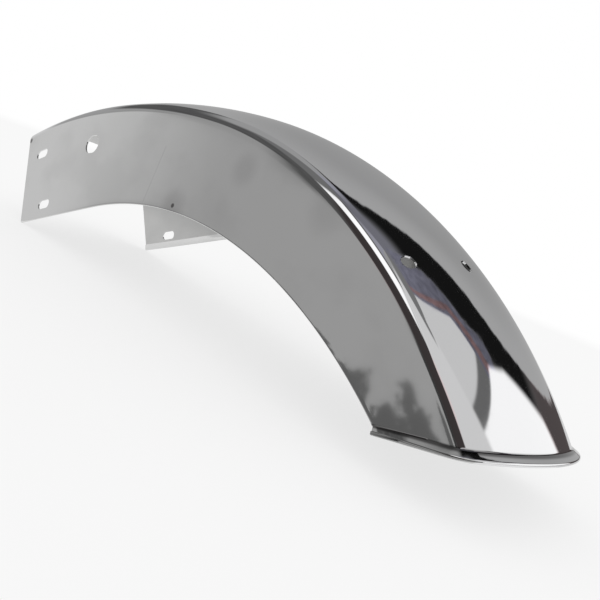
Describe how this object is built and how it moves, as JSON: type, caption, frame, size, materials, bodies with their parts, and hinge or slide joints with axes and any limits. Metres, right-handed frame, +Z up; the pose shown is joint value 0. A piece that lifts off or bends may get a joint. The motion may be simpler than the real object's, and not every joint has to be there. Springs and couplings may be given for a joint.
{
  "type": "motorcycle rear mudguard",
  "caption": "Arched sheet-metal rear mudguard with a domed crown, leaning side walls with folded edges, slotted front fixings, crown holes and a flared, beaded rear lip.",
  "frame": {"origin": "in the middle plane, halfway between the two frame slots of each side wall", "axes": "+X towards the rear of the motorcycle, +Y along the wheel axis to the left side, +Z up; the row is as it sits on the motorcycle, over the wheel, whose axis lies 207 mm behind and 246.6 mm below the origin"},
  "size_m": [0.5485, 0.1434, 0.1598],
  "materials": {
    "chrome": "bright chrome plate, slightly wavy on the side walls"
  },
  "bodies": {
    "root": {"mudguard": "chrome"}
  },
  "joints": []
}
